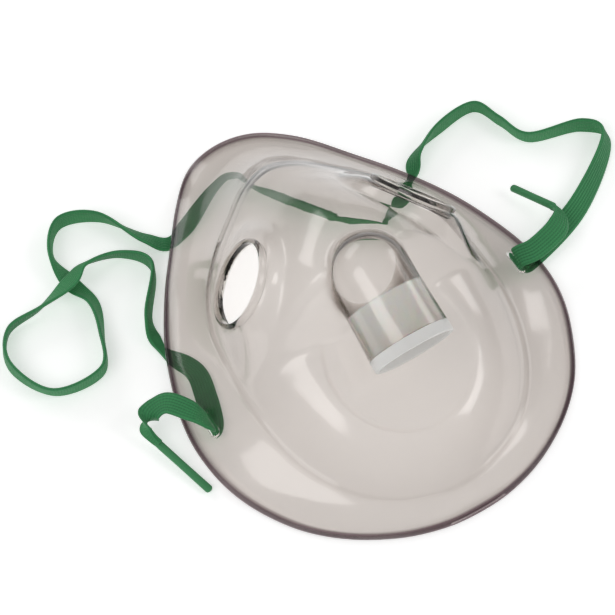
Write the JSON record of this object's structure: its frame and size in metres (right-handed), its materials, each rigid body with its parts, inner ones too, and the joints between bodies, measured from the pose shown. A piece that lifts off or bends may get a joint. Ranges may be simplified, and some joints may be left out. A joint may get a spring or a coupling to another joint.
{
  "type": "aerosol face mask",
  "caption": "Clear soft face mask with a nose-to-chin dome, side vents, a downward port with a frosted swivel sleeve and a green elastic head strap.",
  "frame": {"origin": "centre of the mask's outline, on the surface that its rim rests on; the strap isn't counted", "axes": "+Z out of the face towards the dome, +Y from the chin to the nose, +X towards the wearer's left"},
  "size_m": [0.1991, 0.1512, 0.0592],
  "materials": {
    "clear_vinyl": "smooth soft clear vinyl",
    "frosted_vinyl": "frosted translucent vinyl",
    "elastic": "flat knitted elastic",
    "elastic_tip": "stiffened elastic"
  },
  "bodies": {
    "mask": {"mask_dome": "clear_vinyl", "face_flange": "clear_vinyl", "port_neck": "clear_vinyl", "vent_collar_left": "clear_vinyl", "vent_collar_right": "clear_vinyl", "head_strap": "elastic"},
    "connector": {"port_sleeve": "frosted_vinyl"},
    "tail_left": {"strap_tail_left": "elastic", "strap_tip_left": "elastic_tip"},
    "tail_right": {"strap_tail_right": "elastic", "strap_tip_right": "elastic_tip"}
  },
  "joints": [
    {"name": "connector_swivel", "type": "hinge", "parent": "mask", "child": "connector", "pos_m": [0, -0.02845, 0.04196], "axis": [0, -0.9455, -0.3256], "continuous": true},
    {"name": "tail_left_flip", "type": "hinge", "parent": "mask", "child": "tail_left", "pos_m": [-0.0535, -0.012, 0.0065], "axis": [0, 1, 0], "range_deg": [0, 60]},
    {"name": "tail_right_flip", "type": "hinge", "parent": "mask", "child": "tail_right", "pos_m": [0.0535, -0.012, 0.0065], "axis": [0, -1, 0], "range_deg": [0, 60]}
  ]
}
